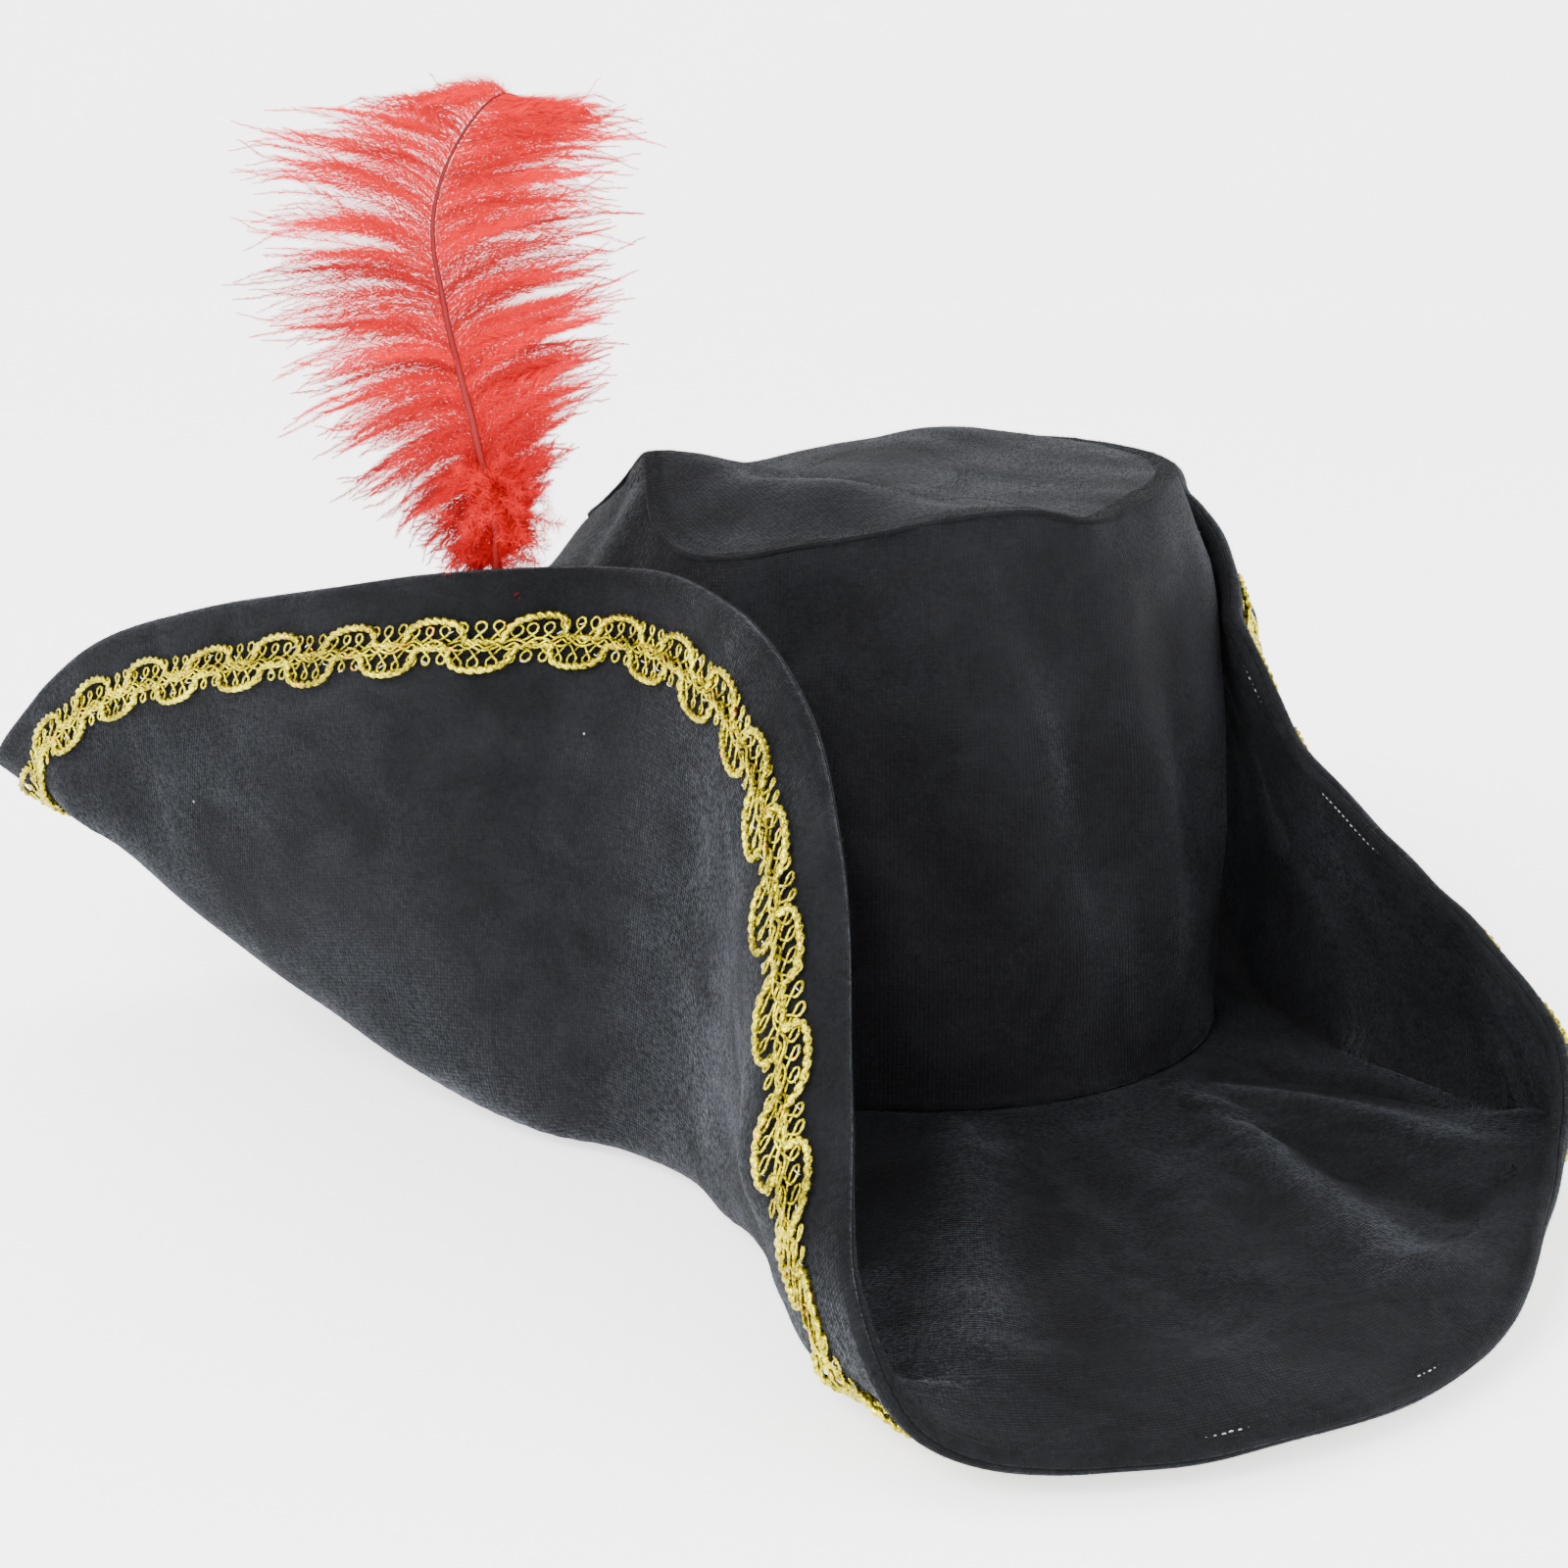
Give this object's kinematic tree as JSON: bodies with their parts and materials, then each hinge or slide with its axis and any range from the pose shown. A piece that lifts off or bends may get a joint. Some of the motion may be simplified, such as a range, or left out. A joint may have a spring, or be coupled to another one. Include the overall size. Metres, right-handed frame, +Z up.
{
  "type": "tricorn hat",
  "caption": "Black velvet tricorn hat with a soft crown, a brim turned up into flaps, gold scalloped braid along the brim and a red ostrich plume.",
  "frame": {"origin": "middle of the head opening, at the height of the table the hat rests on", "axes": "+Z up; -Y towards the broad front lobe of the brim; the plume stands on the -X side"},
  "size_m": [0.4153, 0.4019, 0.2554],
  "materials": {
    "black_velvet": "pile velvet, directional sheen",
    "foam_interlining": "matte foam-backed felt",
    "black_tape": "woven twill tape",
    "black_thread": "polyester thread",
    "white_thread": "clear and white monofilament",
    "gold_gimp": "metallic gimp cord",
    "red_shaft": "dyed keratin, satin",
    "red_barbs": "dyed ostrich barbs, fluffy"
  },
  "bodies": {
    "hat": {"crown_tip_velvet": "black_velvet", "crown_tip_backing": "foam_interlining", "crown_side_velvet": "black_velvet", "crown_side_backing": "foam_interlining", "brim_upper_velvet": "black_velvet", "brim_interlining": "foam_interlining", "brim_under_velvet": "black_velvet", "headline_tape": "black_tape", "sweatband": "black_tape", "sweatband_stitching": "black_thread", "hem_stitching": "white_thread", "braid_centre_chain": "gold_gimp", "braid_outer_scallops": "gold_gimp", "braid_inner_scallops": "gold_gimp", "braid_loop_lace": "gold_gimp", "left_flap_tack": "black_thread", "right_flap_tack": "black_thread", "rear_flap_tack": "black_thread", "quill_tack_thread": "black_thread"},
    "plume_lower": {"quill": "red_shaft", "lower_barbs_left": "red_barbs", "lower_barbs_right": "red_barbs", "base_down": "red_barbs"},
    "plume_tip": {"upper_shaft": "red_shaft", "upper_barbs_left": "red_barbs", "upper_barbs_right": "red_barbs"}
  },
  "joints": [
    {"name": "plume_sway", "type": "hinge", "parent": "hat", "child": "plume_lower", "pos_m": [-0.11564, -0.02663, 0.142], "axis": [0.4226, 0.9063, 0], "range_deg": [-12, 12], "stiffness_Nm_per_rad": 0.03},
    {"name": "plume_tip_nod", "type": "hinge", "parent": "plume_lower", "child": "plume_tip", "pos_m": [-0.12365, -0.0218, 0.1997], "axis": [0.9063, -0.4226, 0], "range_deg": [-20, 20], "stiffness_Nm_per_rad": 0.012}
  ]
}
